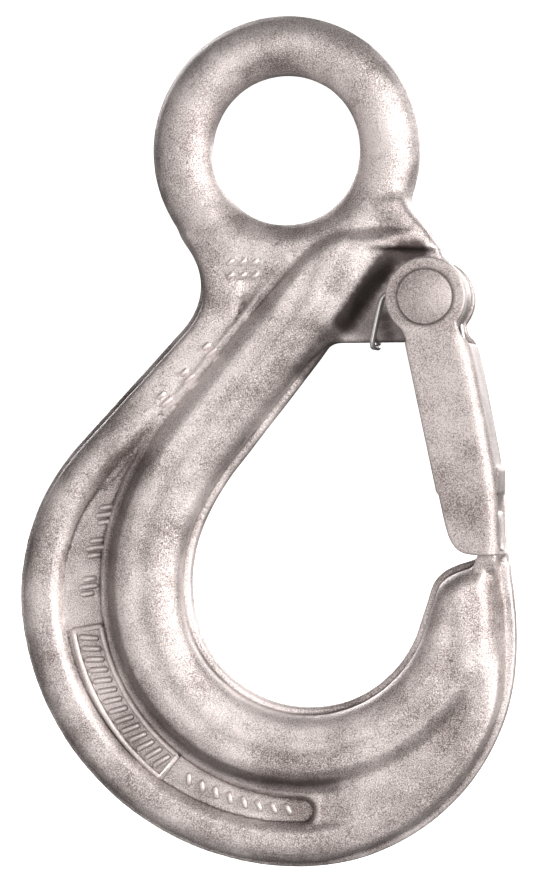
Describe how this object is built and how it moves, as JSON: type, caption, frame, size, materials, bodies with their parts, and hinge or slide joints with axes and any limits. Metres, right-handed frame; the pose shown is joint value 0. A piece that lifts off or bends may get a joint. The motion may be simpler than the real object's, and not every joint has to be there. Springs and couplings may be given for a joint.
{
  "type": "eye hook with latch",
  "caption": "Forged steel eye hook with a spring-loaded sheet latch, round load bar, recessed web, raised rim and a tongue that the latch cheeks straddle.",
  "frame": {"origin": "centre of the eye, on the hook's middle plane", "axes": "+Z from the eye's centre away from the bowl, +X towards the tip and latch, +Y along the eye's axis, through the thickness"},
  "size_m": [0.0842, 0.0228, 0.1428],
  "materials": {
    "forged_steel": "shot-blasted forged alloy steel, satin",
    "latch_steel": "shot-blasted pressed sheet, matt",
    "rivet_steel": "shot-blasted rivet, satin",
    "spring_wire": "drawn spring wire"
  },
  "bodies": {
    "hook": {"hook_body": "forged_steel", "latch_rivet": "rivet_steel", "latch_spring": "spring_wire"},
    "latch": {"latch": "latch_steel"}
  },
  "joints": [
    {"name": "latch_pivot", "type": "hinge", "parent": "hook", "child": "latch", "pos_m": [0.0244, 0, -0.025], "axis": [0, 1, 0], "range_deg": [0, 58], "stiffness_Nm_per_rad": 0.15, "springref_deg": -57.3, "deforming": ["latch_spring"]}
  ]
}
